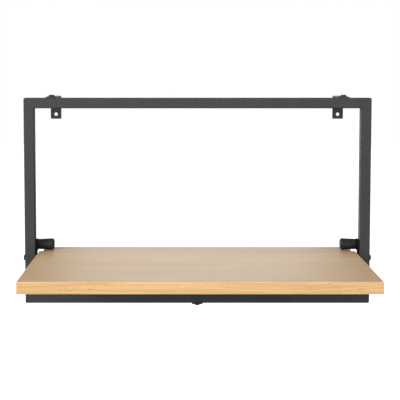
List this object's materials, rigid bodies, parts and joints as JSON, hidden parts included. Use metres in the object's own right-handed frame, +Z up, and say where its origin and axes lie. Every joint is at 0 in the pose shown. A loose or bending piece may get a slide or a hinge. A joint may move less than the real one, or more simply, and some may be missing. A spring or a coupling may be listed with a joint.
{
  "type": "folding wall shelf",
  "caption": "Folding wall shelf: an oak board pivots in a square-tube steel rectangle that stands off the wall on bent strip brackets.",
  "frame": {"origin": "on the wall plane, centred left to right, at the underside of the tube rectangle", "axes": "+X to the right as seen from the room, +Y into the wall so the front faces -Y, +Z up"},
  "size_m": [0.6066, 0.3, 0.3692],
  "materials": {
    "frame_steel": "charcoal powder coat, fine matt texture",
    "bracket_steel": "charcoal powder coat on bent strip",
    "plate_steel": "black powder coat, satin",
    "fastener_black": "black oxide, satin",
    "insert_zinc": "zinc plated",
    "oak_board": "pale oak veneer, satin lacquer",
    "oak_edge": "oak edge band, satin lacquer",
    "bumper_rubber": "moulded black rubber",
    "washer_nylon": "black nylon"
  },
  "bodies": {
    "frame": {"top_rail": "frame_steel", "bottom_rail": "frame_steel", "left_upright": "frame_steel", "right_upright": "frame_steel", "left_stop_plate": "plate_steel", "right_stop_plate": "plate_steel", "left_bumper": "bumper_rubber", "right_bumper": "bumper_rubber", "left_bumper_core": "insert_zinc", "right_bumper_core": "insert_zinc", "left_bumper_screw": "fastener_black", "right_bumper_screw": "fastener_black", "top_left_bracket": "bracket_steel", "top_right_bracket": "bracket_steel", "bottom_bracket": "bracket_steel", "top_left_bracket_bolt": "fastener_black", "top_right_bracket_bolt": "fastener_black", "bottom_bracket_bolt": "fastener_black", "top_left_rivet_nut": "insert_zinc", "top_right_rivet_nut": "insert_zinc", "bottom_rivet_nut": "insert_zinc"},
    "shelf": {"shelf_board": "oak_board", "top_veneer_1": "oak_board", "top_veneer_2": "oak_board", "top_veneer_3": "oak_board", "top_veneer_4": "oak_board", "bottom_veneer": "oak_board", "front_edge_band": "oak_edge", "rear_edge_band": "oak_edge", "left_edge_band": "oak_edge", "right_edge_band": "oak_edge", "left_pivot_bolt": "fastener_black", "right_pivot_bolt": "fastener_black", "left_pivot_washer": "washer_nylon", "right_pivot_washer": "washer_nylon", "left_pivot_insert": "insert_zinc", "right_pivot_insert": "insert_zinc"}
  },
  "joints": [
    {"name": "shelf_fold", "type": "hinge", "parent": "frame", "child": "shelf", "pos_m": [0, -0.061, 0.079], "axis": [-1, 0, 0], "range_deg": [0, 91.5]}
  ]
}
